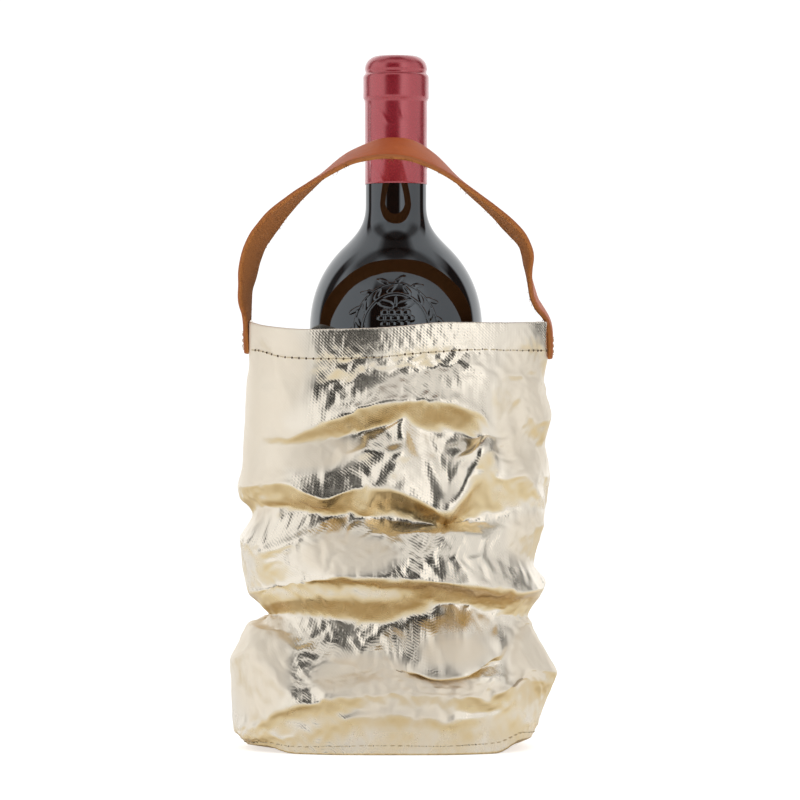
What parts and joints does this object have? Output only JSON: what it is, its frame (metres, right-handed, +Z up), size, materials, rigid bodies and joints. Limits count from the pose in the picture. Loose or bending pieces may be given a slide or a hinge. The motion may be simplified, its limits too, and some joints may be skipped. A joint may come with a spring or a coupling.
{
  "type": "wine gift bag",
  "caption": "Soft slumped metallic paper gift bag with a turned stitched hem and a sewn leather strap handle, holding a corked wine bottle that lifts out.",
  "frame": {"origin": "centre of the flat underside of the bag's base", "axes": "+Z up through the bottle's mouth, +X to the right of the bag, front of the bag (the side the handle leans to) towards -Y"},
  "size_m": [0.146, 0.1121, 0.3112],
  "materials": {
    "foil_paper": "crumpled metallic champagne foil on a fine twill ground",
    "thread": "twisted sewing thread",
    "strap_leather": "smooth tan outer face, suede inner face",
    "bottle_glass": "glossy very dark brown glass",
    "wine": "dark red liquid",
    "cork": "natural cork",
    "capsule_foil": "satin lacquered foil"
  },
  "bodies": {
    "bag": {"bag_wall": "foil_paper", "rim_hem": "foil_paper", "bag_base": "foil_paper", "back_seam_lap": "foil_paper", "hem_stitching": "thread", "base_stitching": "thread", "back_seam_stitching": "thread", "strap_end_left": "strap_leather", "strap_end_right": "strap_leather", "strap_stitching_left": "thread", "strap_stitching_right": "thread"},
    "handle": {"handle_strap": "strap_leather"},
    "bottle": {"bottle_glass": "bottle_glass", "wine": "wine", "cork": "cork", "capsule": "capsule_foil"}
  },
  "joints": [
    {"name": "handle_fold", "type": "hinge", "parent": "bag", "child": "handle", "pos_m": [0, -0.006, 0.196], "axis": [1, 0, 0], "range_deg": [0, 56]},
    {"name": "bottle_lift", "type": "slide", "parent": "bag", "child": "bottle", "axis": [0, 0, 1], "range_m": [0, 0.28]}
  ]
}
